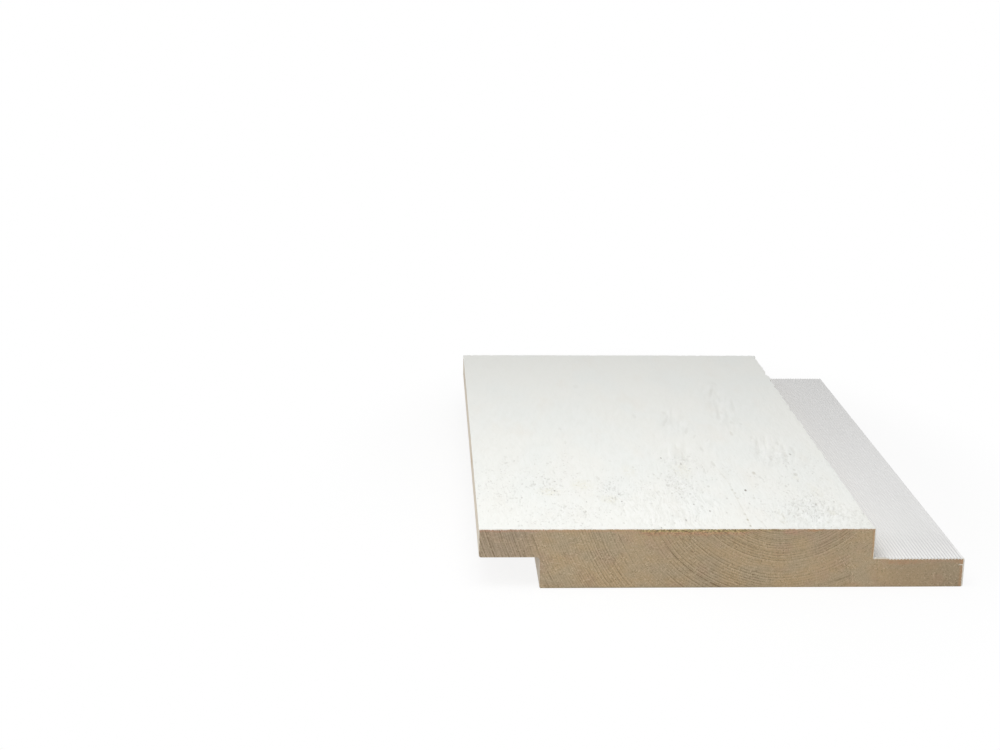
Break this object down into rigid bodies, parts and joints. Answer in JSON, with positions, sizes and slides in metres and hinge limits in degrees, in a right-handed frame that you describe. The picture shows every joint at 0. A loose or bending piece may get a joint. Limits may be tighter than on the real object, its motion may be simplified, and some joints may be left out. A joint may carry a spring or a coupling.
{
  "type": "rebated cladding board",
  "caption": "Rectangular board with a rebate along each edge, one in the face and one in the back, so that boards lap; white primed, fine-sawn face, ribbed lip, bare cut ends and back.",
  "frame": {"origin": "middle of the back, halfway along the board and halfway across its full width", "axes": "+X across the board, from the tongue's edge to the lip's edge; +Y along the board; +Z out of the face"},
  "size_m": [0.148, 0.2, 0.019],
  "materials": {
    "primed_softwood": "matt white primer on fine-sawn softwood, with bare wood on the two cut ends and the back"
  },
  "bodies": {
    "root": {"cladding_board": "primed_softwood"}
  },
  "joints": []
}
